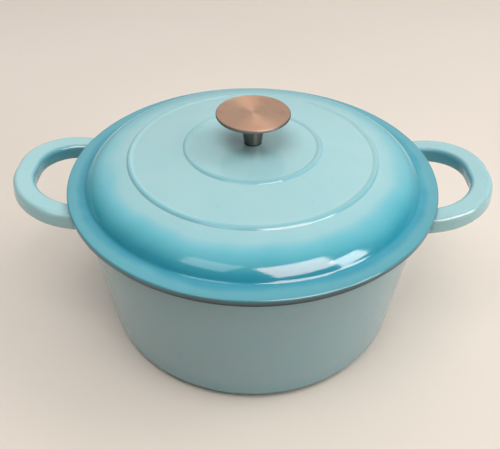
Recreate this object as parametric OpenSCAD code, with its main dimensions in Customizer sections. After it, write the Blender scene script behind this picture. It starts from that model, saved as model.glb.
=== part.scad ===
// Round lidded cooking pot: an enamelled iron casting with two loop handles, and a domed lid
// with a disc knob that is screwed on from below. Millimetres, +Z up. The origin is the middle
// of the foot ring, on the surface that the pot stands on, and the handles lie along X.

/* [Pot] */
// Outer radius of the wall, where its straight line reaches the rim
pot_radius = 128; // [100:0.5:160]
// Height of the rim above the table
pot_height = 118.7; // [85:0.1:165]
// How much narrower the wall is at the table than at the rim
wall_taper = 11.9; // [4:0.1:20]
// Thickness of the wall, with its enamel
wall_t = 4.6; // [3.5:0.1:7]
// Thickness of the floor, with its enamel
floor_t = 5.2; // [4:0.1:8]
// Outer radius where the wall turns into the floor
base_round = 10; // [7:0.5:20]
// Inner radius where the wall turns into the floor
inner_round = 9; // [5:0.5:20]

/* [Rim and foot] */
// How far the rim stands out from the wall
rim_flare = 5.8; // [3:0.1:8]
// Height of the rim's outer edge
rim_edge = 2.9; // [2:0.1:5]
// Radius of the hollow under the rim
flare_round = 9; // [8:0.5:16]
// Middle radius of the bare ring that the pot stands on
foot_radius = 88; // [50:1:90]
// Width of the foot ring
foot_width = 7; // [3:0.5:12]
// How far the foot ring stands out below the floor
foot_height = 0.9; // [0.6:0.1:2]

/* [Handles] */
// How far each handle stands out from the wall
handle_reach = 48.4; // [42:0.1:64]
// Overall width of each handle
handle_span = 106; // [96:1:130]
// Width of the handle's bar, seen from above
bar_width = 15.6; // [12:0.2:22]
// Thickness of the handle's bar
bar_height = 13.2; // [8:0.1:16]
// Rounding of the bar's long edges
bar_round = 3.6; // [2:0.2:3.8]
// How steeply each handle rises away from the pot, in degrees
handle_lift = 9.5; // [0:0.5:14]
// Outer radius of the handle's corners
handle_corner = 48; // [30:1:50]

/* [Lid] */
// How far the lid reaches past the pot's rim
lid_overhang = 2.2; // [0.4:0.2:5]
// Height of the lid's outer edge
lid_edge = 4; // [3.4:0.1:8]
// Rounding of the lid's top outer edge
lid_edge_round = 1.5; // [0.8:0.1:2]
// Width of the flat flange around the dome
flange_width = 10.5; // [6:0.5:16]
// Radius of the hollow where the flange meets the dome
fold_round = 4; // [2:0.5:8]
// Radius of the dome's shoulder
shoulder_round = 22; // [16:1:30]
// Height of the dome's middle above the flange
dome_height = 24; // [21:0.5:34]
// How far the dome falls from its middle to the fold
dome_fall = 16; // [10:0.5:17]
// Thickness of the lid, with its enamel
lid_t = 4.4; // [3.5:0.1:7]
// Play between the lid's lip and the pot's mouth
lip_play = 1.2; // [0.5:0.1:3]
// How far the lip reaches down inside the pot
lip_depth = 6; // [3:0.5:10]
// Thickness of the lip
lip_t = 4.6; // [3.5:0.1:7]

/* [Rings on the lid] */
// Distance from the fold in to the outer ring
outer_ring_inset = 36.4; // [30:0.2:50]
// Radius of the inner ring
inner_ring_radius = 48.4; // [36:0.2:54]
// How far a ring stands out of the dome
ring_height = 1.1; // [0.6:0.1:2]
// Radius of a ring's round back
ring_round = 2.4; // [2:0.1:4]

/* [Knob] */
// Radius of the knob's disc
knob_radius = 26.4; // [20:0.2:32]
// Height of the knob above the dome
knob_height = 24.2; // [19:0.2:34]
// Thickness of the brushed cap
cap_t = 2.6; // [1.2:0.1:3]
// Height of the cone under the cap
cone_height = 4.6; // [3:0.2:7]
// Radius of the stem under the cone
stem_top_radius = 8.8; // [7.5:0.1:11]
// Radius of the stem's foot
stem_foot_radius = 6.4; // [6:0.1:8]

/* [Screw and washers] */
// Outer diameter of the screw's thread
screw_d = 5; // [4:0.5:6]
// How far the screw reaches into the stem
screw_reach = 11; // [7:0.5:13]
// Radius of the screw's head
head_radius = 4.9; // [4.2:0.1:5.4]
// Height of the screw's head
head_height = 3.4; // [2.4:0.1:4]
// Radius of the flat washer
washer_radius = 7.5; // [7:0.1:9]
// Thickness of the flat washer
washer_t = 1; // [0.6:0.1:1.6]
// Thickness of the lock washer
lock_t = 1.3; // [0.8:0.1:1.8]
// Thickness of the gasket under the knob
gasket_t = 0.8; // [0.5:0.1:1.5]

/* [Enamel] */
// Thickness of each coat of enamel
coat_t = 0.4; // [0.3:0.05:0.6]

/* [Hidden] */
$fn = 180;

lid_gap = 0.3;        // the lid's seat over the pot's rim
screw_play = 0.1;     // the screw in its holes, all round
pad_t = 1.2;          // the flat pad for the washers, under the lid's middle
pad_play = 2.5;       // the pad past the washer
flat_cut = 0.2;       // the dome's middle is cut flat by this much, for the gasket
lock_split = 12;      // the lock washer's opening, in degrees
bore_past = 2;        // the bore in the stem past the screw's end
washer_play = 0.6;    // the washers and the gasket round the screw
head_round = 1.2;     // the rounding of the screw's head
cross_width = 1.3;    // the arms of the recess in the screw's head
cross_length = 5.6;
cross_depth = 1.9;
cone_rim = 1;         // the upright edge of the cone under the cap
lid_dark_edge = 0.6;  // how far the dark coat climbs the lid's edge
overlap = 2;          // how far neighbouring areas of an outline lie over each other
far = 400;            // longer than any piece

// ---- the pot's outline ----
tilt = atan(wall_taper / pot_height);
wall_along = [sin(tilt), cos(tilt)];
wall_out = [cos(tilt), -sin(tilt)];
wall_foot = [pot_radius - wall_taper, 0];
rim_radius = pot_radius + rim_flare;
rim_low = pot_height - rim_edge;
under_z = foot_height;                  // the underside of the floor

// A point on the wall's line at height z, moved in by d square to the wall
function wall_at(z, d) = [wall_foot[0] + z * tan(tilt) - d / cos(tilt), z];

// The middle of a corner of radius r between the wall's line, moved in by d, and the height z
function corner_mid(z, d, r) = [wall_at(z + r, d + r)[0], z + r];

// The hollow under the rim touches the wall's line and ends at the rim's lower edge
rim_corner = [rim_radius, rim_low];
corner_out = (rim_corner - wall_foot) * wall_out;
corner_up = (rim_corner - wall_foot) * wall_along;
flare_up = corner_up - sqrt(2 * flare_round * corner_out - corner_out * corner_out);
flare_mid = wall_foot + flare_up * wall_along + flare_round * wall_out;

mouth_radius = wall_at(pot_height, wall_t)[0];

// ---- the handles ----
bar_mid_z = pot_height - bar_height / 2;
loop_x = pot_radius + handle_reach - bar_width / 2;      // the middle of the outer bar
loop_y = handle_span / 2 - bar_width / 2;                // the middle of the side bars
loop_r = handle_corner - bar_width / 2;
bar_start = wall_at(pot_height - bar_height, wall_t)[0] * cos(asin(handle_span / 2 / mouth_radius));

// ---- the lid's outline ----
seat_z = pot_height + lid_gap;
lid_radius = rim_radius + lid_overhang;
flange_z = seat_z + lid_edge;
fold_radius = lid_radius - flange_width;
dome_r = (fold_radius * fold_radius + dome_fall * dome_fall) / (2 * dome_fall);
dome_mid = [0, flange_z + dome_height - dome_r];
fold_mid = [fold_radius, flange_z + fold_round];
fold_away = norm(fold_mid - dome_mid);
shoulder_away = dome_r - shoulder_round;
shoulder_angle = atan2(fold_mid[0], fold_mid[1] - dome_mid[1])
    - acos((pow(shoulder_away, 2) + pow(fold_away, 2) - pow(shoulder_round + fold_round, 2))
        / (2 * shoulder_away * fold_away));
shoulder_ray = [sin(shoulder_angle), cos(shoulder_angle)];
shoulder_mid = dome_mid + shoulder_away * shoulder_ray;
fold_ray = (fold_mid - shoulder_mid) / norm(fold_mid - shoulder_mid);
dome_top = flange_z + dome_height - flat_cut;
lip_outer = mouth_radius - lip_play;
lip_inner = lip_outer - lip_t;
lip_low = pot_height - lip_depth;
outer_ring_radius = fold_radius - outer_ring_inset;

// Where the lid's edge crosses the inner face of a handle's side bar
lift_x = sqrt(pow(lid_radius, 2) - pow(handle_span / 2 - bar_width, 2));

// Height of the dome's smooth surface at radius r, on the crown and on the shoulder
function dome_at(r) = r < dome_mid[0] + dome_r * shoulder_ray[0]
    ? dome_mid[1] + sqrt(dome_r * dome_r - r * r)
    : shoulder_mid[1] + sqrt(pow(shoulder_round, 2) - pow(r - shoulder_mid[0], 2));

// ---- the knob and its fastening ----
lid_under = dome_top - lid_t - pad_t;                    // the flat face under the lid's middle
hole_radius = screw_d / 2 + 0.8;
pad_radius = washer_radius + pad_play;
stem_low = dome_top + gasket_t;
knob_top = dome_top + knob_height;
cone_low = knob_top - cap_t - cone_height;
head_top = lid_under - washer_t - lock_t;
screw_top = stem_low + screw_reach;

// A pie slice of a circle: the part of it on the far side of two rays from its middle
module slice(mid, r, ray_a, ray_b) {
    intersection() {
        translate(mid) circle(r);
        polygon([mid, mid + 2 * r * ray_a, mid + 2 * r * (ray_a + ray_b), mid + 2 * r * ray_b]);
    }
}

// Everything inside the wall's line moved in by d, above the height z, up to the height top,
// with a corner of radius r at the foot
module bowl_area(d, z, r, top) {
    mid = corner_mid(z, d, r);
    union() {
        polygon([[0, z], [mid[0], z], mid + r * wall_out, wall_at(top, d), [0, top]]);
        slice(mid, r, [0, -1], wall_out);
    }
}

// The outside of the pot, in section, with its surface moved in by d
module pot_area(d) {
    top = pot_height - coat_t;
    touch = wall_foot + flare_up * wall_along;
    union() {
        bowl_area(d, under_z + d, base_round - d, top);
        difference() {
            polygon([touch - 3 * wall_out, touch - d * wall_out, rim_corner - [d, 0],
                     [rim_radius - d, top], [mouth_radius, top]]);
            translate(flare_mid) circle(flare_round + d);
        }
    }
}

// The inside of the pot, in section, with its surface moved out into the wall by d
module cavity_area(d) {
    bowl_area(wall_t - d, under_z + floor_t - d, inner_round + d, pot_height + 1);
}

// The bar's section, on its long axis, with its surface moved in by d
module bar_area(d) {
    w = bar_width / 2 - d;
    h = bar_height / 2 - d;
    r = bar_round - d;
    union() {
        square([2 * w, 2 * (h - r)], center = true);
        square([2 * (w - r), 2 * h], center = true);
        for (x = [-1, 1], y = [-1, 1]) translate([x * (w - r), y * (h - r)]) circle(r);
    }
}

// One handle, swept from the bar's section: two side bars, two corners and the outer bar. It is
// level with the rim's top where the lid's edge ends, and rises from there.
module handle_loop() {
    translate([lift_x, 0, pot_height])
        rotate([0, -handle_lift, 0])
            translate([-lift_x, 0, -pot_height]) flat_loop() children();
}

module flat_loop() {
    side_len = loop_x - loop_r - bar_start;
    for (s = [-1, 1]) {
        translate([bar_start, s * loop_y, bar_mid_z])
            rotate([90, 0, 90]) linear_extrude(side_len) children();
        translate([loop_x - loop_r, s * (loop_y - loop_r), bar_mid_z])
            rotate([0, 0, s > 0 ? 0 : -90])
                rotate_extrude(angle = 90) translate([loop_r, 0]) children();
    }
    translate([loop_x, loop_r - loop_y, bar_mid_z])
        rotate([-90, 0, 0]) linear_extrude(2 * (loop_y - loop_r)) children();
}

// Both handles, with their surface moved in by d
module both_handles(d) {
    handle_loop() bar_area(d);
    mirror([1, 0, 0]) handle_loop() bar_area(d);
}

// The coat on one handle, from the pot's own outline outwards
module handle_coat() {
    difference() {
        handle_loop() difference() {
            bar_area(0);
            bar_area(coat_t);
        }
        rotate_extrude() union() {
            pot_area(0);
            translate([0, rim_low]) square([rim_radius, far]);
        }
    }
}

module foot_ring() {
    rotate_extrude()
        translate([foot_radius - foot_width / 2, 0]) square([foot_width, foot_height + coat_t + 1]);
}

module pot_casting() {
    color("#3a3b3c") union() {
        difference() {
            union() {
                rotate_extrude() pot_area(coat_t);
                both_handles(coat_t);
            }
            rotate_extrude() cavity_area(coat_t);
            rim_coat_ring();
        }
        foot_ring();
    }
}

module pot_outer_enamel() {
    color("#97c8cb") union() {
        difference() {
            rotate_extrude() difference() {
                pot_area(0);
                pot_area(coat_t);
                translate([0, rim_low]) square([far, far]);
            }
            both_handles(coat_t);
            foot_ring();
        }
        handle_coat();
        mirror([1, 0, 0]) handle_coat();
    }
}

module pot_inner_enamel() {
    color("#ece5d6") rotate_extrude() intersection() {
        difference() {
            cavity_area(coat_t);
            cavity_area(0);
        }
        square([far, pot_height - coat_t]);
    }
}

// The dark coat on the rim's flat top
module rim_coat_ring() {
    rotate_extrude()
        translate([mouth_radius, pot_height - coat_t])
            square([rim_radius - mouth_radius, coat_t]);
}

// The dark coat round the rim's edge, broken where the handles leave it
module rim_coat_band() {
    difference() {
        rotate_extrude()
            translate([rim_radius - coat_t, rim_low]) square([coat_t, rim_edge - coat_t]);
        both_handles(coat_t);
    }
}

module pot_rim_coat() {
    color("#2c2e30") union() {
        rim_coat_ring();
        rim_coat_band();
    }
}

// The top of the lid, in section, with its surface moved in by d. The crown, the shoulder and
// the hollow at its foot are cut apart along upright lines, where one arc runs into the next.
module lid_top_area(d) {
    r = lid_edge_round;
    edge = lid_radius - d;
    deck = flange_z - d;
    crown = dome_r - d;
    shoulder = shoulder_round - d;
    crown_touch = dome_mid + crown * shoulder_ray;
    fold_touch = shoulder_mid + shoulder * fold_ray;
    intersection() {
        union() {
            translate([0, seat_z]) square([edge, deck - r - seat_z]);
            translate([0, seat_z]) square([edge - r, deck - seat_z]);
            translate([edge - r, deck - r]) circle(r);
            intersection() {
                translate(dome_mid) circle(crown);
                translate([0, deck - 1]) square([crown_touch[0], dome_height + 1]);
            }
            intersection() {
                translate(shoulder_mid) circle(shoulder);
                polygon([crown_touch - [overlap, 3 * overlap], crown_touch, crown_touch + [0, overlap],
                         [fold_touch[0], crown_touch[1] + overlap], [fold_touch[0], deck - 1],
                         [crown_touch[0] - overlap, deck - 1]]);
            }
            difference() {
                polygon([[fold_touch[0] - overlap, deck - 1], [fold_radius, deck - 1],
                         [fold_radius, deck], fold_touch]);
                translate(fold_mid) circle(fold_round + d);
            }
            for (ring = [outer_ring_radius, inner_ring_radius])
                translate([ring, dome_at(ring) + ring_height - ring_round]) circle(ring_round - d);
        }
        translate([hole_radius, seat_z]) square([far, dome_top - d - seat_z]);
    }
}

// The lip that drops inside the pot's mouth, in section, with its surface moved in by d
module lip_area(d) {
    translate([lip_inner - 1, lip_low + d]) square([lip_t + 1 - d, seat_z + 1 - lip_low - d]);
}

// The hollow under the lid, in section, with its surface moved out into the lid by d
module hollow_area(d) {
    crown = dome_r - lid_t + d;
    shoulder = shoulder_round - lid_t + d;
    crown_touch = dome_mid + crown * shoulder_ray;
    side = lip_inner + d;
    low = lip_low - 1;
    difference() {
        union() {
            intersection() {
                translate(dome_mid) circle(crown);
                translate([0, low]) square([crown_touch[0], far]);
            }
            intersection() {
                translate(shoulder_mid) circle(shoulder);
                polygon([crown_touch - [overlap, 3 * overlap], crown_touch, crown_touch + [0, overlap],
                         [side, crown_touch[1] + overlap], [side, low],
                         [crown_touch[0] - overlap, low]]);
            }
            translate([0, low]) square([side, max(1, shoulder_mid[1] - low)]);
        }
        translate([0, lid_under + d]) square([pad_radius - d, far]);
    }
}

// The dark coat under the flange and round the foot of its edge, in section
module lid_rim_coat_area() {
    translate([lip_outer, seat_z]) square([lid_radius - lip_outer, coat_t]);
    translate([lid_radius - coat_t, seat_z]) square([coat_t, lid_dark_edge]);
}

// The bare casting of the lid, in section
module lid_casting_area() {
    difference() {
        union() {
            lid_top_area(coat_t);
            lip_area(coat_t);
        }
        hollow_area(coat_t);
        lid_rim_coat_area();
    }
}

module lid_casting() {
    color("#3a3b3c") rotate_extrude() lid_casting_area();
}

module lid_outer_enamel() {
    color("#7fbfc9") rotate_extrude() difference() {
        lid_top_area(0);
        lid_top_area(coat_t);
        lid_rim_coat_area();
    }
}

module lid_inner_enamel() {
    color("#ece5d6") rotate_extrude() difference() {
        union() {
            lid_top_area(coat_t);
            lip_area(0);
        }
        lid_casting_area();
        hollow_area(0);
        lid_rim_coat_area();
    }
}

module lid_rim_coat() {
    color("#2c2e30") rotate_extrude() union() lid_rim_coat_area();
}

module knob_cap() {
    color("#c39a7c") rotate_extrude() union() {
        translate([0, knob_top - cap_t]) square([knob_radius - cap_t / 2, cap_t]);
        translate([knob_radius - cap_t / 2, knob_top - cap_t / 2])
            intersection() {
                circle(cap_t / 2);
                translate([0, -far / 2]) square(far);
            }
    }
}

module knob_body() {
    color("#5d6264") difference() {
        rotate_extrude() polygon([
            [0, stem_low], [stem_foot_radius, stem_low], [stem_top_radius, cone_low],
            [knob_radius - cap_t, knob_top - cap_t - cone_rim],
            [knob_radius - cap_t, knob_top - cap_t], [0, knob_top - cap_t]]);
        translate([0, 0, stem_low - 1])
            cylinder(r = screw_d / 2 + screw_play, h = screw_reach + bore_past + 1);
    }
}

// A flat ring between two radii, standing on the height z
module washer(inner, outer, z, t) {
    translate([0, 0, z]) difference() {
        cylinder(r = outer, h = t);
        translate([0, 0, -1]) cylinder(r = inner, h = t + 2);
    }
}

module knob_gasket() {
    color("#26282a") washer(screw_d / 2 + washer_play, stem_foot_radius, dome_top, gasket_t);
}

module flat_washer() {
    color("#b9bdc0") washer(screw_d / 2 + washer_play, washer_radius, lid_under - washer_t, washer_t);
}

module lock_washer() {
    inner = screw_d / 2 + washer_play;
    color("#a9aeb1") translate([0, 0, head_top])
        rotate([0, 0, lock_split / 2])
            rotate_extrude(angle = 360 - lock_split)
                translate([inner, 0]) square([head_radius - inner, lock_t]);
}

module knob_screw() {
    color("#c3c7ca") difference() {
        rotate_extrude() union() {
            translate([0, head_top - head_height]) square([head_radius - head_round, head_height]);
            translate([0, head_top - head_height + head_round])
                square([head_radius, head_height - head_round]);
            translate([head_radius - head_round, head_top - head_height + head_round])
                circle(head_round);
            translate([0, head_top - 1]) square([screw_d / 2, screw_top - head_top + 1]);
        }
        for (turn = [0, 90])
            translate([0, 0, head_top - head_height]) rotate([0, 0, turn])
                cube([cross_length, cross_width, 2 * cross_depth], center = true);
    }
}

pot_casting();
pot_outer_enamel();
pot_inner_enamel();
pot_rim_coat();
lid_casting();
lid_outer_enamel();
lid_inner_enamel();
lid_rim_coat();
knob_cap();
knob_body();
knob_gasket();
knob_screw();
flat_washer();
lock_washer();
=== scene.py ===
import math

import bmesh
import bpy
import numpy as np
from mathutils import Matrix, Vector


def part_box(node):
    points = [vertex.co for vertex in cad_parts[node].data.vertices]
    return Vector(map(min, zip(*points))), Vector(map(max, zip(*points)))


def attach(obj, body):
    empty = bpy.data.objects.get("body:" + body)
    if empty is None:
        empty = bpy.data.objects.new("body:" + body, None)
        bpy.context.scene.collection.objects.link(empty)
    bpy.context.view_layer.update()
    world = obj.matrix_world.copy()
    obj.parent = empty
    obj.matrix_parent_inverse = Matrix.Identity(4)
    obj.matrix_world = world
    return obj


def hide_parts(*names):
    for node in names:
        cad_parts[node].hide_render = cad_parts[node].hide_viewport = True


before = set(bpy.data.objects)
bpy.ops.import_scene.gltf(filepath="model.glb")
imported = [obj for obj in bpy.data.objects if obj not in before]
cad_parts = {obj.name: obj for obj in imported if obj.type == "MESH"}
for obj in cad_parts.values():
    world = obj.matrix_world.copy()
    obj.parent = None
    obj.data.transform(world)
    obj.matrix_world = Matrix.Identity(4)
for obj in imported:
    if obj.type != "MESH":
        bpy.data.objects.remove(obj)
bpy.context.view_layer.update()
print("frame loaded:", ", ".join(sorted(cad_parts)))


# Shader maths on sockets: a + b, 1 - mask, mask * 0.5 and so on each add a Math node
class Wire:
    def __init__(self, finish, socket):
        self.finish, self.socket = finish, socket

    def other(self, name):  # another output of the same node
        return Wire(self.finish, self.socket.node.outputs[name])

    def __add__(self, value):
        return self.finish.maths("ADD", self, value)

    def __sub__(self, value):
        return self.finish.maths("SUBTRACT", self, value)

    def __rsub__(self, value):
        return self.finish.maths("SUBTRACT", value, self)

    def __mul__(self, value):
        return self.finish.maths("MULTIPLY", self, value)

    def __truediv__(self, value):
        return self.finish.maths("DIVIDE", self, value)

    def __pow__(self, value):
        return self.finish.maths("POWER", self, value)

    __radd__ = __add__
    __rmul__ = __mul__


# One material with its shader; the constants go straight onto the shader's own sockets
class Finish:
    def __init__(self, name, **constants):
        self.material = bpy.data.materials.new(name)
        self.material.use_nodes = True
        self.tree = self.material.node_tree
        self.shader = self.tree.nodes["Principled BSDF"]
        for socket, value in constants.items():
            self.shader.inputs[socket.replace("_", " ")].default_value = value

    def node(self, kind, settings, sockets, output=0):
        made = self.tree.nodes.new(kind)
        for key, value in settings.items():
            if key == "stops":
                self.setStops(made.color_ramp, value)
            else:
                setattr(made, key, value)
        for key, value in sockets.items():
            if isinstance(value, Wire):
                self.tree.links.new(value.socket, made.inputs[key])
            else:
                made.inputs[key].default_value = value
        return Wire(self, made.outputs[output])

    def setStops(self, ramp, stops):
        while len(ramp.elements) < len(stops):
            ramp.elements.new(0.5)
        for element, (place, colour) in zip(ramp.elements, stops):
            element.position = place
            element.color = (*colour, 1)

    def maths(self, operation, *values):
        return self.node("ShaderNodeMath", {"operation": operation}, dict(enumerate(values)))

    def place(self):  # the point on the piece, in metres from the row's origin
        return self.node("ShaderNodeTexCoord", {}, {}, "Object")

    def parts(self, vector):
        first = self.node("ShaderNodeSeparateXYZ", {}, {0: vector}, "X")
        return first, first.other("Y"), first.other("Z")

    def step(self, value, low, high):  # 0 below low, 1 above high, smooth between
        return self.node("ShaderNodeMapRange", {"interpolation_type": "SMOOTHSTEP"},
                         {"Value": value, "From Min": low, "From Max": high})

    def noise(self, size, detail=2.0, rough=0.5, at=None):  # patches of about that size, in metres
        return self.node("ShaderNodeTexNoise", {},
                         {"Vector": at or self.place(), "Scale": 1 / size, "Detail": detail,
                          "Roughness": rough})

    def mix(self, factor, *colours):  # a where the factor is 0, b where it is 1
        a, b = (c if isinstance(c, Wire) else (*c, 1) for c in colours)
        return self.node("ShaderNodeMix", {"data_type": "RGBA"}, {0: factor, 6: a, 7: b}, 2)

    def ramp(self, value, stops):
        return self.node("ShaderNodeValToRGB", {"stops": stops}, {"Fac": value})

    def bump(self, height, depth, under=None):  # depth is in metres, for a height from 0 to 1
        sockets = {"Height": height, "Distance": depth}
        if under:
            sockets["Normal"] = under
        return self.node("ShaderNodeBump", {}, sockets)

    def feed(self, **links):
        for socket, wire in links.items():
            self.tree.links.new(wire.socket, self.shader.inputs[socket.replace("_", " ")])
        return self.material


# Shapes turned on a lathe
def roundCorners(corners, closed=True, degrees=6):
    # corners are (radius, height, rounding); a corner becomes an arc in steps of that many degrees
    points, count = [], len(corners)
    for i, (r, z, rounding) in enumerate(corners):
        here = Vector((r, z))
        if not rounding or (not closed and i in (0, count - 1)):
            points.append(here)
            continue
        back = (Vector(corners[i - 1][:2]) - here).normalized()
        ahead = (Vector(corners[(i + 1) % count][:2]) - here).normalized()
        half = back.angle(ahead) / 2
        middle = here + (back + ahead).normalized() * (rounding / math.sin(half))
        start = here + back * (rounding / math.tan(half)) - middle
        end = here + ahead * (rounding / math.tan(half)) - middle
        turn = math.pi - 2 * half
        steps = max(2, math.ceil(math.degrees(turn) / degrees))
        side = 1 if start.x * end.y - start.y * end.x > 0 else -1
        for k in range(steps + 1):
            a = side * turn * k / steps
            points.append(middle + Vector((start.x * math.cos(a) - start.y * math.sin(a),
                                           start.x * math.sin(a) + start.y * math.cos(a))))
    return [(p.x, p.y) for p in points]


def offsetLine(outline, depth):  # the same line, moved to its right-hand side
    line = np.array(outline)
    ahead = np.gradient(line, axis=0)
    ahead /= np.linalg.norm(ahead, axis=1)[:, None]
    return line + np.column_stack([ahead[:, 1], -ahead[:, 0]]) * depth


def lathe(name, outline, turns=288, closed=True):
    bm = bmesh.new()
    rings = []
    for r, z in outline:
        if r < 1e-6:
            rings.append([bm.verts.new((0, 0, z))])
        else:
            angles = [2 * math.pi * k / turns for k in range(turns)]
            rings.append([bm.verts.new((r * math.cos(a), r * math.sin(a), z)) for a in angles])
    pairs = list(zip(rings, rings[1:])) + ([(rings[-1], rings[0])] if closed else [])
    for low, high in pairs:
        for k in range(turns):
            n = (k + 1) % turns
            if len(low) == 1 and len(high) == 1:
                continue
            if len(low) == 1:
                bm.faces.new((low[0], high[n], high[k]))
            elif len(high) == 1:
                bm.faces.new((low[k], low[n], high[0]))
            else:
                bm.faces.new((low[k], low[n], high[n], high[k]))
    bmesh.ops.recalc_face_normals(bm, faces=bm.faces)
    return makePiece(name, bm)


def makePiece(name, bm, sharpAngle=40):
    mesh = bpy.data.meshes.new(name)
    bm.to_mesh(mesh)
    bm.free()
    mesh.shade_smooth()
    mesh.set_sharp_from_angle(angle=math.radians(sharpAngle))
    piece = bpy.data.objects.new(name, mesh)
    bpy.context.scene.collection.objects.link(piece)
    flats = piece.modifiers.new("flats", "WEIGHTED_NORMAL")
    flats.keep_sharp = True
    return piece


def settle(piece, body, slotName, material, *nodes):
    piece.data.materials.clear()
    piece.data.materials.append(material)
    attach(piece, body)
    if nodes:
        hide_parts(*nodes)


def bakedMesh(obj):  # the object's mesh with its modifiers, or a curve's tube
    graph = bpy.context.evaluated_depsgraph_get()
    return bpy.data.meshes.new_from_object(obj.evaluated_get(graph))


# Sizes, in metres: boxes of the CAD nodes, then what they don't say
rimLow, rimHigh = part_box("pot_rim_coat")
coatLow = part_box("pot_outer_enamel")[0]
lidLow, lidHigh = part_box("lid_outer_enamel")
lidRimLow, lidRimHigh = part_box("lid_rim_coat")
lidInLow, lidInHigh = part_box("lid_inner_enamel")
capLow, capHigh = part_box("knob_cap")
stemLow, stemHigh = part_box("knob_body")

potShape = {
    "wallRadius": 0.128,       # where the wall's line reaches the rim's height
    "wallTaper": 0.0119,
    "baseRound": 0.010,
    "flareRound": 0.009,
    "wall": 0.0046,
    "floor": 0.0052,
    "innerRound": 0.009,
    "coat": 0.0004,
    "shell": 0.0003,           # thickness of the enamel piece, a little under the coat
    "topGap": 0.0001,          # between the skin's open edge and the rim's ring
    "openDepth": 0.0009,       # what is taken off the skin's closed top: down to this depth,
    "openInset": 0.004,        # and out to this distance from the rim's edge
    "voxel": 0.0013,
    "roughTurns": 160,
    "spreadTurns": 6,
    "settleTurns": 5,
}
handleShape = {
    "reach": potShape["wallRadius"] + 0.0484,  # the outer bar's outer face, before it is tilted
    "span": 0.106,
    "barWidth": 0.0156,
    "barHeight": 0.0132,
    "barRound": 0.0036,
    "corner": 0.048,
    "lift": math.radians(9.5),
    "rootFillet": 0.0055,      # blend between the bar and the wall, at its sides and below
    "topFillet": 0.0006,
    "rootRadius": 0.110,       # the arms start inside the wall
    "roughBar": 0.0087,        # radius of the rough bar, outside the true section's corners
    "roughSteps": 24,
    "blendShare": 0.6,         # share of the bar's height over which the fillet grows
}

lidShape = {
    "edge": 0.004,
    "edgeRound": 0.0015,
    "flange": 0.0105,
    "foldRound": 0.004,
    "shoulder": 0.022,
    "dome": 0.024,
    "domeFall": 0.016,
    "thick": 0.0044,
    "hole": 0.0033,
    "lipWidth": 0.0046,
    "pad": 0.0012,
    "padRadius": 0.010,
    "coat": 0.0004,
    "topShell": 0.00032,       # thickness of the enamel piece on top
    "seatRound": 0.0001,
    "rimRound": 0.0005,
    "ringHeight": 0.0011,
    "ringRound": 0.0024,
    "ringBlend": 0.0009,       # softness of the hollow at the foot of a ring
    "innerRing": 0.0484,
    "outerRingInset": 0.0364,
}

rimRadius, rimTop = rimHigh.x, rimHigh.z
wallFoot = potShape["wallRadius"] - potShape["wallTaper"]
wallTilt = math.atan(potShape["wallTaper"] / rimTop)
lidRadius = lidRimHigh.x
flangeTop = lidRimLow.z + lidShape["edge"]


# The pot's outside: distances from its true skin, the turned wall and the two handles in one
def roundedInner(a, b, r, lean):  # inside both, with a round between; lean is their normals' dot
    pastA, pastB = a + r, b + r
    square = (pastA ** 2 + pastB ** 2 - 2 * pastA * pastB * lean) / (1 - lean ** 2)
    inCorner = (pastA > pastB * lean) & (pastB > pastA * lean)
    return np.where(inCorner, np.sqrt(np.maximum(square, 0)) - r, np.maximum(a, b))


def pastCorner(a, b):  # distance from a square corner, from two distances to its sides
    return np.hypot(np.maximum(a, 0), np.maximum(b, 0)) + np.minimum(np.maximum(a, b), 0)


def roundedJoin(a, b, r):  # inside either, with a fillet between them
    return np.maximum(r, np.minimum(a, b)) - np.hypot(np.maximum(r - a, 0), np.maximum(r - b, 0))


flareOut = (rimRadius - wallFoot) * math.cos(wallTilt) - rimLow.z * math.sin(wallTilt)
flareUp = ((rimRadius - wallFoot) * math.sin(wallTilt) + rimLow.z * math.cos(wallTilt)
           - math.sqrt(2 * potShape["flareRound"] * flareOut - flareOut ** 2))
flareMiddle = (
    wallFoot + flareUp * math.sin(wallTilt) + potShape["flareRound"] * math.cos(wallTilt),
    flareUp * math.cos(wallTilt) - potShape["flareRound"] * math.sin(wallTilt))


def wallDistance(p):
    s, tilt = potShape, wallTilt
    r, z = np.hypot(p[:, 0], p[:, 1]), p[:, 2]
    wall = (r - wallFoot) * math.cos(tilt) - z * math.sin(tilt)
    bowl = roundedInner(wall, coatLow.z - z, s["baseRound"], math.sin(tilt))
    along = (r - wallFoot) * math.sin(tilt) + z * math.cos(tilt)
    hollow = s["flareRound"] - np.hypot(r - flareMiddle[0], z - flareMiddle[1])
    flare = np.maximum(np.maximum(r - (rimRadius - s["coat"]), hollow), flareUp - along)
    return np.maximum(np.minimum(bowl, flare), z - (rimTop - s["coat"] - s["topGap"]))


liftX = math.sqrt(lidRadius ** 2 - (handleShape["span"] / 2 - handleShape["barWidth"]) ** 2)


def handleDistance(p):
    h = handleShape
    x, z = np.abs(p[:, 0]) - liftX, p[:, 2] - rimTop
    flatX = liftX + x * math.cos(h["lift"]) + z * math.sin(h["lift"])
    flatZ = -x * math.sin(h["lift"]) + z * math.cos(h["lift"]) + h["barHeight"] / 2
    loopRadius = h["corner"] - h["barWidth"] / 2
    qx = flatX - (h["reach"] - h["corner"])
    qy = np.abs(p[:, 1]) - (h["span"] / 2 - h["corner"])
    side = pastCorner(qx, qy) - loopRadius
    ex = np.abs(side) - (h["barWidth"] / 2 - h["barRound"])
    ez = np.abs(flatZ) - (h["barHeight"] / 2 - h["barRound"])
    return pastCorner(ex, ez) - h["barRound"], flatZ


def skinDistance(p):
    h = handleShape
    bar, flatZ = handleDistance(p)
    low = np.clip((h["barHeight"] / 2 - flatZ) / (h["barHeight"] * h["blendShare"]), 0, 1)
    blend = h["topFillet"] + (h["rootFillet"] - h["topFillet"]) * low * low * (3 - 2 * low)
    return roundedJoin(wallDistance(p), bar, blend)


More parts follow.
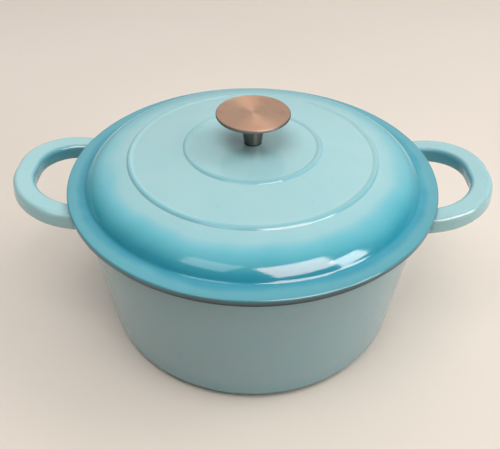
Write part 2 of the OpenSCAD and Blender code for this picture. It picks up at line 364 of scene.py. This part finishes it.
def skinSlope(p, reach=2e-5):
    rises = [skinDistance(p + move) - skinDistance(p - move) for move in np.eye(3) * reach]
    return np.column_stack(rises) / (2 * reach)


def unit(vectors):
    return vectors / np.maximum(np.linalg.norm(vectors, axis=1), 1e-9)[:, None]


def buildRoughPot():  # a rough pot and two round bars, melted together by the remesh
    s, h = potShape, handleShape
    rough = bmesh.new()
    top, edge = rimTop - s["coat"], rimRadius - s["coat"]
    outline = [(0, coatLow.z), (wallFoot, coatLow.z),
               (flareMiddle[0] - s["flareRound"], flareMiddle[1]),
               (edge, rimLow.z), (edge, top), (0, top)]
    pot = lathe("roughPot", outline, closed=False, turns=s["roughTurns"])
    rough.from_mesh(pot.data)
    bpy.data.objects.remove(pot)
    loopRadius = h["corner"] - h["barWidth"] / 2
    midX, midY = h["reach"] - h["corner"], h["span"] / 2 - h["corner"]
    for sign in (-1, 1):
        flat = [(h["rootRadius"], midY + loopRadius)]
        flat += [(midX + loopRadius * math.sin(a), midY + loopRadius * math.cos(a))
                 for a in np.linspace(0, math.pi / 2, h["roughSteps"])]
        flat += [(x, -y) for x, y in reversed(flat)]
        curve = bpy.data.curves.new("roughBar", "CURVE")
        curve.dimensions = "3D"
        curve.bevel_depth = h["roughBar"]
        curve.bevel_resolution = 6
        curve.use_fill_caps = True
        line = curve.splines.new("POLY")
        line.points.add(len(flat) - 1)
        for point, (x, y) in zip(line.points, flat):
            dx = x - liftX
            z = rimTop + dx * math.sin(h["lift"]) - h["barHeight"] / 2 * math.cos(h["lift"])
            point.co = (sign * (liftX + dx * math.cos(h["lift"])), y, z, 1)
        bar = bpy.data.objects.new("roughBar", curve)
        bpy.context.scene.collection.objects.link(bar)
        bpy.context.view_layer.update()
        rough.from_mesh(bakedMesh(bar))
        bpy.data.objects.remove(bar)
    melted = makePiece("potEnamel", rough)
    melted.modifiers.clear()
    remesh = melted.modifiers.new("melt", "REMESH")
    remesh.mode = "VOXEL"
    remesh.voxel_size = s["voxel"]
    melted.data = bakedMesh(melted)
    melted.modifiers.clear()
    return melted


def drawOntoSkin(mesh):  # every point goes onto the true skin, and spreads evenly along it
    leastSlope, share = 0.2, 0.5
    points = np.array([v.co for v in mesh.vertices], float).reshape(-1, 3)
    ends = np.array([e.vertices[:] for e in mesh.edges])
    meeting = np.bincount(ends.ravel(), minlength=len(points))[:, None]
    for turn in range(potShape["spreadTurns"] + potShape["settleTurns"]):
        slope = skinSlope(points)
        steepness = np.maximum((slope ** 2).sum(1), leastSlope)
        points -= slope * (skinDistance(points) / steepness)[:, None]
        if turn < potShape["spreadTurns"]:
            around = np.zeros_like(points)
            np.add.at(around, ends[:, 0], points[ends[:, 1]])
            np.add.at(around, ends[:, 1], points[ends[:, 0]])
            move = around / meeting - points
            slope = unit(slope)
            points += (move - (move * slope).sum(1)[:, None] * slope) * share
    mesh.vertices.foreach_set("co", points.astype(np.float32).ravel())


def openTop(mesh):  # the skin is open under the rim's ring
    s = potShape
    bm = bmesh.new()
    bm.from_mesh(mesh)
    high, near = rimTop - s["openDepth"], rimRadius - s["openInset"]
    cap = [f for f in bm.faces
           if all(v.co.z > high and math.hypot(v.co.x, v.co.y) < near for v in f.verts)]
    bmesh.ops.delete(bm, geom=cap, context="FACES")
    bm.to_mesh(mesh)
    bm.free()


def smoothNormals(mesh):  # the true skin's own, but an open edge keeps the mesh's
    leastAgreement = 0.8
    mesh.shade_smooth()
    points = np.array([v.co for v in mesh.vertices], float).reshape(-1, 3)
    normals = np.array([v.normal for v in mesh.vertices], float).reshape(-1, 3)
    slope = unit(skinSlope(points))
    agree = (slope * normals).sum(1)
    slope = np.where(agree[:, None] < 0, -slope, slope)
    slope = np.where(np.abs(agree)[:, None] < leastAgreement, normals, slope)
    mesh.normals_split_custom_set_from_vertices(slope.tolist())


def buildPotSkin():
    skin = buildRoughPot()
    drawOntoSkin(skin.data)
    openTop(skin.data)
    solid = skin.modifiers.new("coat", "SOLIDIFY")
    solid.thickness = potShape["shell"]
    solid.offset = -1
    skin.data = bakedMesh(skin)
    skin.modifiers.clear()
    smoothNormals(skin.data)
    print("pot skin:", len(skin.data.vertices), "points")
    return skin


potEnamel = buildPotSkin()


# The rest of the pot
def wallAt(z, depth):
    return wallFoot + z * math.tan(wallTilt) - depth / math.cos(wallTilt)


mouth = wallAt(rimTop, potShape["wall"])


rimRounds = {"mouth": 0.00035, "edge": 0.0007, "under": 0.00015}


def buildRim():
    rounds, coat, edge = rimRounds, potShape["coat"], rimRadius
    outline = roundCorners([
        (mouth, rimTop - coat, 0), (mouth, rimTop, rounds["mouth"]), (edge, rimTop, rounds["edge"]),
        (edge, rimLow.z, rounds["under"]), (edge - coat, rimLow.z, 0),
        (edge - coat, rimTop - coat, 0)], degrees=15)
    return lathe("potRim", outline, turns=320)


def buildInside():
    s = potShape
    floorTop = coatLow.z + s["floor"]
    top = rimTop - s["coat"]
    low = wallAt(floorTop, s["wall"])
    line = roundCorners([(0, floorTop, 0), (low, floorTop, s["innerRound"]),
                         (wallAt(top, s["wall"]), top, 0)], closed=False, degrees=5)
    back = offsetLine(line, s["shell"])
    back[0][0] = 0
    outline = line + [tuple(p) for p in back[::-1]]
    return lathe("potInside", outline, turns=256, closed=False)


potRim = buildRim()
potInside = buildInside()
print("pot built")


# The lid: arcs of its crown, shoulder and fold that touch each other
foldRadius, fall = lidRadius - lidShape["flange"], lidShape["domeFall"]
domeRadius = (foldRadius ** 2 + fall ** 2) / (2 * fall)
domeMiddle = np.array([0, flangeTop + lidShape["dome"] - domeRadius])
foldMiddle = np.array([foldRadius, flangeTop + lidShape["foldRound"]])
foldAway = np.linalg.norm(foldMiddle - domeMiddle)
shoulderAway = domeRadius - lidShape["shoulder"]
bothRounds = lidShape["shoulder"] + lidShape["foldRound"]
shoulderAngle = math.atan2(foldMiddle[0], foldMiddle[1] - domeMiddle[1]) - math.acos(
    (shoulderAway ** 2 + foldAway ** 2 - bothRounds ** 2) / (2 * shoulderAway * foldAway))
shoulderRay = np.array([math.sin(shoulderAngle), math.cos(shoulderAngle)])
shoulderMiddle = domeMiddle + shoulderAway * shoulderRay
foldRay = (foldMiddle - shoulderMiddle) / np.linalg.norm(foldMiddle - shoulderMiddle)
outerRing = foldMiddle[0] - lidShape["outerRingInset"]
lidSteps = {
    # zone: (how far out it reaches, the step from one circle of points to the next)
    "middle": (0.044, 0.0016),
    "innerRing": (0.053, 0.00022),
    "between": (outerRing - 0.0045, 0.0016),
    "outerRing": (outerRing + 0.0045, 0.00022),
    "crown": (0.112, 0.0011),
    "shoulder": (0.128, 0.00045),
    "flange": (lidRadius - lidShape["edgeRound"], 0.001),
}


def arcRise(radius, away):  # height of an arc over its middle, at that distance from it
    return np.sqrt(np.maximum(radius ** 2 - away ** 2, 0))


def domeHeight(r, depth=0.0):  # the crown, the shoulder and the fold, moved in by depth
    crown = domeMiddle[1] + arcRise(domeRadius - depth, r)
    shoulder = shoulderMiddle[1] + arcRise(lidShape["shoulder"] - depth, r - shoulderMiddle[0])
    fold = foldMiddle[1] - arcRise(lidShape["foldRound"] + depth, r - foldMiddle[0])
    crownEnd = domeMiddle[0] + (domeRadius - depth) * shoulderRay[0]
    shoulderEnd = shoulderMiddle[0] + (lidShape["shoulder"] - depth) * foldRay[0]
    height = np.where(r < crownEnd, crown, np.where(r < shoulderEnd, shoulder, fold))
    return np.where(r > foldMiddle[0], flangeTop - depth, height)


def topHeight(r):
    s = lidShape
    base = domeHeight(r)
    for ring in (s["innerRing"], outerRing):
        middle = domeHeight(np.array([ring]))[0] + s["ringHeight"] - s["ringRound"]
        bead = middle + arcRise(s["ringRound"], r - ring)
        bead = np.where(np.abs(r - ring) < s["ringRound"], bead, bead - 1e3)  # far below the dome
        gap, soft = bead - base, s["ringBlend"]
        blend = np.clip(0.5 + gap / (2 * soft), 0, 1)
        base = base * (1 - blend) + np.maximum(bead, base - 1) * blend + soft * blend * (1 - blend)
    return np.minimum(base, lidHigh.z)


def buildLidTop():
    s = lidShape
    circles, start = [], s["hole"]
    for end, step in lidSteps.values():
        circles.append(np.arange(start, end, step))
        start = end
    radii = np.concatenate(circles + [[start]])
    line = [(r, z) for r, z in zip(radii, topHeight(radii))]
    for a in np.linspace(0, math.pi / 2, 9)[1:]:
        line.append((lidRadius - s["edgeRound"] * (1 - math.sin(a)),
                     flangeTop - s["edgeRound"] * (1 - math.cos(a))))
    line.append((lidRadius, lidLow.z))
    back = offsetLine(line, s["topShell"])
    back[0] = (s["hole"], back[0][1])
    back[-1] = (back[-1][0], lidLow.z)
    return lathe("lidEnamel", line + [tuple(p) for p in back[::-1]], turns=320)


insideShape = {
    "shell": 0.0003,
    "lipRound": 0.0016,
    "lipInset": 0.004,         # from the lip's inner face to where the dome's curve starts
    "lipDrop": 0.0045,
    "padInset": 0.002,         # from the pad under the knob to where that curve ends
    "padSlope": (0.0008, 0.0006),
    "padRound": 0.0004,
    "circles": 46,
}


def buildLidInside():
    s, n = lidShape, insideShape
    lipOuter, lipInner = lidInHigh.x, lidInHigh.x - s["lipWidth"]
    under, pad = lidHigh.z - s["thick"] - s["pad"], s["padRadius"]
    radii = np.linspace(lipInner - n["lipInset"], pad + n["padInset"], n["circles"])
    heights = domeHeight(radii, s["thick"])
    line = [(lipOuter, lidRimLow.z + s["coat"], 0)]
    line += [(lipOuter, lidInLow.z, n["lipRound"]), (lipInner, lidInLow.z, n["lipRound"])]
    line += [(lipInner, heights[0] - n["lipDrop"], 0)]
    line += [(r, z, 0) for r, z in zip(radii, heights)]
    line += [(pad + n["padSlope"][0], under + n["padSlope"][1], 0), (pad, under, n["padRound"])]
    line = roundCorners(line + [(s["hole"], under, 0)], closed=False, degrees=12)
    back = offsetLine(line, -n["shell"])
    back[0] = (lipOuter - n["shell"], line[0][1])
    back[-1] = (s["hole"], under + n["shell"])
    return lathe("lidInside", line + [tuple(p) for p in back[::-1]], turns=256)


def buildLidRim():
    s = lidShape
    low, high = lidRimLow.z, lidRimHigh.z
    inner = lidInHigh.x
    outline = roundCorners([
        (inner, low, s["seatRound"]), (lidRadius, low, s["rimRound"]), (lidRadius, high, 0),
        (lidRadius - s["coat"], high, 0), (lidRadius - s["coat"], low + s["coat"], 0),
        (inner, low + s["coat"], 0)], degrees=15)
    return lathe("lidRim", outline, turns=320)


lidEnamel = buildLidTop()
lidInside = buildLidInside()
lidRim = buildLidRim()
print("lid built")


# The knob
knobShape = {
    "bevel": 0.00045,         # the small polished bevel round the disc's face
    "bevelSlope": 1.2,        # its width for its height
    "bevelRound": 0.00035,
    "faceRound": 0.0003,
    "underWidth": 0.0006,     # the rolled edge below
    "underHeight": 0.0008,
    "underRound": 0.0006,
    "footRadius": 0.0064,
    "footRound": 0.0006,
    "topRadius": 0.0088,
    "topRound": 0.0035,
    "coneRim": 0.001,
    "coneRound": 0.0004,
    "cone": 0.0046,
    "bore": 0.0026,
    "boreDepth": 0.013,
}


def buildKnobDisc():
    s = knobShape
    radius, top, low = capHigh.x, capHigh.z, capLow.z
    outline = roundCorners([
        (0, low, 0), (radius - s["underWidth"], low, s["underRound"]),
        (radius, low + s["underHeight"], s["underRound"]),
        (radius, top - s["bevel"], s["bevelRound"]),
        (radius - s["bevel"] * s["bevelSlope"], top, s["faceRound"]),
        (radius / 2, top, 0), (0, top, 0)], closed=False, degrees=9)
    return lathe("knobDisc", outline, turns=256, closed=False)


def buildKnobStem():
    s = knobShape
    low, high = stemLow.z, stemHigh.z
    coneLow = high - s["cone"]
    outer = stemHigh.x
    outline = roundCorners([
        (s["bore"], low, 0), (s["footRadius"], low, s["footRound"]),
        (s["topRadius"], coneLow, s["topRound"]), (outer, high - s["coneRim"], s["coneRound"]),
        (outer, high, 0), (0, high, 0), (0, low + s["boreDepth"], 0),
        (s["bore"], low + s["boreDepth"], 0)], degrees=8)
    return lathe("knobStem", outline, turns=192)


knobDisc = buildKnobDisc()
knobStem = buildKnobStem()
print("knob built")


# Finishes: colours are linear
enamelColours = {
    "pale": (0.345, 0.575, 0.605),
    "turning": (0.295, 0.555, 0.60),
    "middle": (0.14, 0.47, 0.56),
    "shoulder": (0.075, 0.40, 0.49),
    "deep": (0.03, 0.30, 0.41),
    "edge": (0.095, 0.36, 0.435),
    "outerEdge": (0.085, 0.345, 0.42),
    "sideSprayAndSheen": (0.25, 0.52, 0.575),      # lighter over the lid's shoulder at the sides and the back: partly the spray, partly painted reflection of the bright room
    "darkEdge": (0.045, 0.075, 0.082),     # the dark band on the lid's outer edge
    # painted shade: the pale enamel made darker and greyer for the wall, which stands in shade
    "wall": (0.258, 0.403, 0.437),
    # darker towards the foot: partly the spray, partly painted shade near the floor
    "wallFoot": (0.15, 0.35, 0.40),
    # painted shade under the lid's overhang
    "underLidShade": (0.16, 0.37, 0.42),
    "speck": (0.03, 0.10, 0.12),
}
lidSpray = [  # share of the lid's radius, and the colour there
    (0.0, "pale"), (0.66, "pale"), (0.74, "turning"), (0.79, "middle"), (0.84, "shoulder"),
    (0.89, "deep"), (0.922, "deep"), (0.952, "edge"), (1.0, "outerEdge")]
enamelGloss = {"rough": 0.085, "roughSpread": 0.05, "roughSize": 0.03,
               "wave": 0.00004, "waveSize": 0.011, "peel": 0.000004, "peelSize": 0.0016}


def enamelBump(finish):
    gloss = enamelGloss
    slow = finish.bump(finish.noise(gloss["waveSize"], detail=1.0), gloss["wave"])
    return finish.bump(finish.noise(gloss["peelSize"], detail=2.0), gloss["peel"], slow)


def enamelRoughness(finish):
    gloss = enamelGloss
    return finish.noise(gloss["roughSize"], detail=3.0) * gloss["roughSpread"] + gloss["rough"]


def speckled(finish, colour):  # faint cloudiness and a few fine dark specks
    cloud = finish.step(finish.noise(0.022, detail=4.0), 0.35, 0.7) * 0.10
    clouded = finish.mix(cloud, colour, enamelColours["middle"])
    specks = finish.step(finish.noise(0.0011, detail=0.0), 0.80, 0.84) * 0.25
    return finish.mix(specks, clouded, enamelColours["speck"])


def lidFinish():
    finish = Finish("tealEnamelLid", IOR=1.52)
    x, y, z = finish.parts(finish.place())
    radius = (x * x + y * y) ** 0.5
    wobble = (finish.noise(0.045, detail=2.0) - 0.5) * 0.010  # the spray's edge wanders
    c = enamelColours
    shade = finish.ramp((radius + wobble) / lidRadius, [(at, c[name]) for at, name in lidSpray])
    front = finish.step(y * -1, 0.0, 0.06)  # the shoulder is lighter round the sides and the back: partly the spray, partly painted reflection of the bright room at grazing angles
    band = finish.step(radius, 0.094, 0.104) * (1 - finish.step(radius, 0.119, 0.125))
    shade = finish.mix((1 - front) * band * 0.45, shade, c["sideSprayAndSheen"])
    for ring in (lidShape["innerRing"], outerRing):  # darker along a ring's outer foot: some pooled glaze, and painted shade, strongest at the front where the bead faces away from the light
        away = finish.maths("ABSOLUTE", radius - (ring + 0.0009))
        poolAndShade = (1 - finish.step(away, 0.0006, 0.0021)) * (front * 0.4 + 0.25)
        shade = finish.mix(poolAndShade, shade, c["middle"])
    # darker over the outer edge's face, below the flange top
    darkEdge = 1 - finish.step(z + wobble * 0.06, flangeTop - 0.0022, flangeTop + 0.0003)
    shade = finish.mix(darkEdge * 0.92, shade, c["darkEdge"])
    return finish.feed(Base_Color=speckled(finish, shade), Roughness=enamelRoughness(finish),
                       Normal=enamelBump(finish))


def potFinish():
    finish = Finish("tealEnamelPot", IOR=1.52)
    x, y, z = finish.parts(finish.place())
    c, h = enamelColours, handleShape
    wander = (finish.noise(0.04, detail=2.0) - 0.5) * 0.008
    low = 1 - finish.step(z + wander, 0.002, 0.026)
    high = finish.step(z + wander, 0.102, 0.114)
    radius = (x * x + y * y) ** 0.5
    # painted shade: the body's wall is darker and greyer than the pale handles
    shadedWall = 1 - finish.step(radius, rimRadius + 0.0005, rimRadius + 0.004)
    shade = finish.mix(shadedWall, c["pale"], c["wall"])
    # darker towards the foot: partly the spray, partly painted shade near the floor
    shade = finish.mix(low * 0.65, shade, c["wallFoot"])
    # painted shade just below the rim, under the lid's overhang
    shade = finish.mix(high * shadedWall * 0.5, shade, c["underLidShade"])
    # the faces round each handle's hole are deeper teal: partly pooled enamel, partly painted shade
    # inside the hole
    middles = (h["reach"] - h["corner"], h["span"] / 2 - h["corner"])
    holeX, holeY = (finish.maths("MAXIMUM", finish.maths("ABSOLUTE", way) - middle, 0.0)
                    for way, middle in zip((x, y), middles))
    hole = (holeX * holeX + holeY * holeY) ** 0.5
    holeRadius = h["corner"] - h["barWidth"]
    inner = 1 - finish.step(hole, holeRadius, holeRadius + 0.0035)
    shade = finish.mix(inner * finish.step(radius, 0.130, 0.137) * 0.75, shade, c["deep"])
    return finish.feed(Base_Color=speckled(finish, shade), Roughness=enamelRoughness(finish),
                       Normal=enamelBump(finish))


creamLook = {"light": (0.77, 0.71, 0.60), "dark": (0.70, 0.63, 0.51), "speck": (0.30, 0.24, 0.18)}
coatLook = {"plain": (0.016, 0.019, 0.021), "rusty": (0.045, 0.038, 0.034), "rough": 0.28}
ironLook = {"dark": (0.045, 0.046, 0.048), "light": (0.10, 0.085, 0.075), "rough": 0.42}
bronzeLook = {"low": (0.51, 0.325, 0.225), "high": (0.64, 0.435, 0.32), "stain": (0.36, 0.21, 0.14),
              "side": (0.20, 0.19, 0.175), "rough": 0.42}
darkSteelLook = {"dark": (0.12, 0.125, 0.118), "light": (0.27, 0.27, 0.255), "rough": 0.26}
brightSteelLook = {"dark": (0.50, 0.50, 0.50), "light": (0.68, 0.68, 0.68), "rough": 0.25}
rubberLook = {"dark": (0.018, 0.018, 0.019), "light": (0.04, 0.04, 0.041), "rough": 0.6}


def creamFinish():
    finish, look = Finish("creamEnamel", IOR=1.52), creamLook
    cloud = finish.step(finish.noise(0.03, detail=4.0), 0.3, 0.75)
    shade = finish.mix(cloud, look["light"], look["dark"])
    specks = finish.step(finish.noise(0.0016, detail=1.0), 0.70, 0.74) * 0.35
    shade = finish.mix(specks, shade, look["speck"])
    return finish.feed(Base_Color=shade, Roughness=enamelRoughness(finish),
                       Normal=enamelBump(finish))


def darkCoatFinish():
    finish, look = Finish("charcoalCoat", IOR=1.5), coatLook
    patch = finish.step(finish.noise(0.004, detail=4.0), 0.45, 0.65)
    shade = finish.mix(patch * 0.6, look["plain"], look["rusty"])
    grain = finish.noise(0.0009, detail=3.0)
    return finish.feed(Base_Color=shade, Roughness=grain * 0.25 + look["rough"],
                       Normal=finish.bump(grain, 0.00005))


def ironFinish():
    finish, look = Finish("bareIron", IOR=1.5), ironLook
    patch = finish.step(finish.noise(0.006, detail=5.0), 0.4, 0.7)
    shade = finish.mix(patch, look["dark"], look["light"])
    grain = finish.noise(0.0007, detail=5.0, rough=0.7)
    return finish.feed(Base_Color=shade, Metallic=patch * -0.3 + 0.75,
                       Roughness=grain * 0.3 + look["rough"], Normal=finish.bump(grain, 0.00012))


def turnedLines(finish, size):  # fine circles, as a lathe or a turning brush leaves them
    x, y, z = finish.parts(finish.place())
    radius = (x * x + y * y) ** 0.5
    along = finish.node("ShaderNodeCombineXYZ", {}, {"X": radius, "Y": z * 0.2})
    return finish.noise(size, detail=3.0, rough=0.7, at=along)


def bronzeFinish():
    finish = Finish("brushedBronze", Metallic=1.0, Anisotropic=0.6, Anisotropic_Rotation=0.25)
    look = bronzeLook
    z = finish.parts(finish.place())[2]
    lines = turnedLines(finish, 0.00022)
    broad = turnedLines(finish, 0.0024)
    cloud = finish.noise(0.012, detail=3.0)
    shade = finish.mix(lines * 0.5 + broad * 0.5, look["low"], look["high"])
    shade = finish.mix(finish.step(cloud, 0.5, 0.75) * 0.25, shade, look["stain"])
    # the edge and the back are greyer
    side = 1 - finish.step(z, capHigh.z - 0.00016, capHigh.z - 0.00002)
    shade = finish.mix(side * 0.94, shade, look["side"])
    return finish.feed(Base_Color=shade, Roughness=lines * 0.12 + look["rough"],
                       Normal=finish.bump(lines, 0.000006))


def steelFinish(name, look):
    finish = Finish(name, Metallic=1.0, Anisotropic=0.5)
    lines = turnedLines(finish, 0.0003)
    cloud = finish.noise(0.005, detail=3.0)
    shade = finish.mix(lines * 0.6 + cloud * 0.4, look["dark"], look["light"])
    return finish.feed(Base_Color=shade, Roughness=lines * 0.15 + look["rough"],
                       Normal=finish.bump(lines, 0.000008))


def rubberFinish():
    finish, look = Finish("blackRubber", IOR=1.5), rubberLook
    grain = finish.noise(0.0006, detail=3.0)
    shade = finish.mix(grain, look["dark"], look["light"])
    return finish.feed(Base_Color=shade, Roughness=grain * 0.2 + look["rough"],
                       Normal=finish.bump(grain, 0.00003))


darkCoat, cream, iron = darkCoatFinish(), creamFinish(), ironFinish()
darkSteel = steelFinish("darkSteel", darkSteelLook)
brightSteel = steelFinish("brightSteel", brightSteelLook)

settle(potEnamel, "pot", "teal_enamel", potFinish(), "pot_outer_enamel")
settle(potRim, "pot", "dark_enamel", darkCoat, "pot_rim_coat")
settle(potInside, "pot", "cream_enamel", cream, "pot_inner_enamel")
settle(lidEnamel, "lid", "teal_enamel", lidFinish(), "lid_outer_enamel")
settle(lidInside, "lid", "cream_enamel", cream, "lid_inner_enamel")
settle(lidRim, "lid", "dark_enamel", darkCoat, "lid_rim_coat")
settle(knobDisc, "lid", "brushed_bronze", bronzeFinish(), "knob_cap")
settle(knobStem, "lid", "dark_steel", darkSteel, "knob_body")

keptNodes = {"pot_casting": iron, "lid_casting": iron, "knob_gasket": rubberFinish(),
             "knob_screw": brightSteel, "flat_washer": brightSteel, "lock_washer": brightSteel}
for nodeName, material in keptNodes.items():
    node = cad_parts[nodeName]
    node.data.materials.clear()
    node.data.materials.append(material)
print("finishes made")


# Floor, lights and camera
floorLook = {"size": 6.0, "cells": 24, "colour": (0.765, 0.695, 0.63),
             "shade": (0.725, 0.655, 0.59), "rough": 0.85}


def buildFloor():
    bm = bmesh.new()
    look = floorLook
    bmesh.ops.create_grid(bm, x_segments=look["cells"], y_segments=look["cells"],
                          size=look["size"] / 2)
    floor = makePiece("floor", bm)
    finish = Finish("paleCloth", IOR=1.4, Specular_IOR_Level=0.2)
    cloud = finish.noise(0.35, detail=3.0)
    weave = finish.noise(0.0012, detail=2.0)
    floor.data.materials.append(finish.feed(
        Base_Color=finish.mix(cloud, look["colour"], look["shade"]),
        Roughness=weave * 0.1 + look["rough"], Normal=finish.bump(weave, 0.0001)))


softWhite, glintWhite = (1.0, 0.985, 0.96), (1.0, 0.95, 0.93)
lights = {
    # name: (place, aims at, width, depth, power, colour, whether it lights "gloss" or "matt" alone)
    "rightBox": ((1.56, 0.14, 1.68), (0, 0, 0.08), 1.0, 1.0, 13, softWhite, "matt"),
    "overhead": ((-0.2, -0.62, 2.0), (0, -0.1, 0), 1.4, 0.9, 18.5, softWhite, "matt"),
    "rightFill": ((1.62, -0.72, 0.7), (0, 0, 0.05), 0.9, 0.9, 9, softWhite, "matt"),
    "rightGlint": ((0.86, -1.34, 1.58), (0, -0.1, 0.12), 1.36, 1.35, 66,
                   (1.0, 0.74, 0.67), "gloss"),
    "sideGlint": ((1.78, -0.92, 1.05), (0, -0.1, 0.12), 0.72, 0.95, 26, glintWhite, "gloss"),
    "leftGlint": ((-0.74, -1.1, 1.85), (0, -0.1, 0.12), 1.0, 0.95, 8.5, (1.0, 1.0, 1.0), "gloss"),
}


def addLight(name, place, aim, width, depth, power, colour, lit):
    data = bpy.data.lights.new(name, "AREA")
    data.shape, data.size, data.size_y = "RECTANGLE", width, depth
    data.energy, data.color = power, colour
    lamp = bpy.data.objects.new(name, data)
    lamp.location = place
    lamp.rotation_mode = "QUATERNION"
    lamp.rotation_quaternion = (Vector(aim) - Vector(place)).to_track_quat("-Z", "Y")
    lamp.visible_diffuse = lit != "gloss"
    lamp.visible_glossy = lit != "matt"
    bpy.context.scene.collection.objects.link(lamp)


roomLight = {"colour": (1.0, 0.98, 0.96), "low": 0.06, "high": 0.86, "from": 0.12, "to": 0.97,
             "towards": (0.02, 0.46, 0.89)}


def addRoomLight():  # a soft room: bright overhead and behind, dark in front
    room = roomLight
    world = bpy.data.worlds.new("room")
    world.use_nodes = True
    tree = world.node_tree
    sky = tree.nodes["Background"]
    sky.inputs["Color"].default_value = (*room["colour"], 1)
    way = tree.nodes.new("ShaderNodeTexCoord")
    lean = tree.nodes.new("ShaderNodeVectorMath")
    lean.operation = "DOT_PRODUCT"
    lean.inputs[1].default_value = room["towards"]
    rise = tree.nodes.new("ShaderNodeMapRange")
    rise.interpolation_type = "SMOOTHSTEP"
    for socket, value in (("From Min", room["from"]), ("From Max", room["to"]),
                          ("To Min", room["low"]), ("To Max", room["high"])):
        rise.inputs[socket].default_value = value
    tree.links.new(way.outputs["Generated"], lean.inputs[0])
    tree.links.new(lean.outputs["Value"], rise.inputs["Value"])
    tree.links.new(rise.outputs[0], sky.inputs["Strength"])
    bpy.context.scene.world = world


view = {"place": (0.0003, -0.3764, 0.3738), "forward": (-0.0041, 0.7779, -0.6284),
        "roll": 0.43, "lens": 43.2}  # degrees, and millimetres on a 36 mm frame


def addCamera(place, forward, roll, lens):
    data = bpy.data.cameras.new("camera")
    data.lens, data.sensor_width = lens, 36.0
    data.clip_start = 0.02
    camera = bpy.data.objects.new("camera", data)
    turn = Vector(forward).to_track_quat("-Z", "Y").to_matrix().to_4x4()
    lean = Matrix.Rotation(math.radians(roll), 4, "Z")
    camera.matrix_world = Matrix.Translation(place) @ turn @ lean
    bpy.context.scene.collection.objects.link(camera)
    bpy.context.scene.camera = camera


buildFloor()
for name, light in lights.items():
    addLight(name, *light)
addRoomLight()
addCamera(*view.values())
bpy.context.scene.view_settings.view_transform = "Standard"
